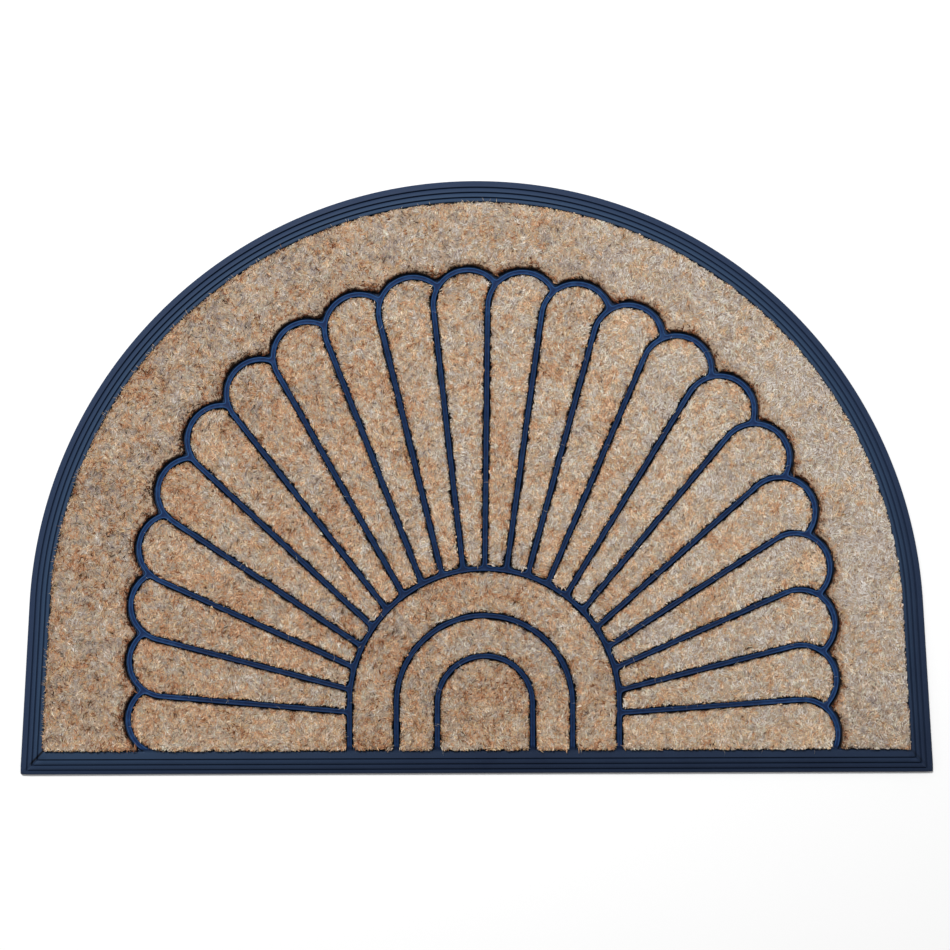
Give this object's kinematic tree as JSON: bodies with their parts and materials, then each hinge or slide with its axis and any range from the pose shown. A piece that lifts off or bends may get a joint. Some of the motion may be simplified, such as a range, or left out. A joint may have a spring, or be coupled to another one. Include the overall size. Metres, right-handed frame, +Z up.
{
  "type": "half round coir doormat",
  "caption": "Half round doormat: a moulded dark blue rubber tray with a grooved border and raised fan ribs, filled with natural coir pile.",
  "frame": {"origin": "centre of the bounding box on the ground, under the mat", "axes": "+X along the straight front edge to the right, +Y from the straight edge to the top of the half round, +Z up out of the pile"},
  "size_m": [0.6998, 0.454, 0.0105],
  "materials": {
    "rubber": "matt dark blue moulded rubber",
    "coir": "natural coir cut pile"
  },
  "bodies": {
    "root": {"rubber_tray": "rubber", "coir_field": "coir", "coir_petal_01": "coir", "coir_petal_02": "coir", "coir_petal_03": "coir", "coir_petal_04": "coir", "coir_petal_05": "coir", "coir_petal_06": "coir", "coir_petal_07": "coir", "coir_petal_08": "coir", "coir_petal_09": "coir", "coir_petal_10": "coir", "coir_petal_11": "coir", "coir_petal_12": "coir", "coir_petal_13": "coir", "coir_petal_14": "coir", "coir_petal_15": "coir", "coir_petal_16": "coir", "coir_petal_17": "coir", "coir_petal_18": "coir", "coir_petal_19": "coir", "coir_petal_20": "coir", "coir_petal_21": "coir", "coir_petal_22": "coir", "coir_arch_outer": "coir", "coir_arch_middle": "coir", "coir_arch_inner": "coir"}
  },
  "joints": []
}
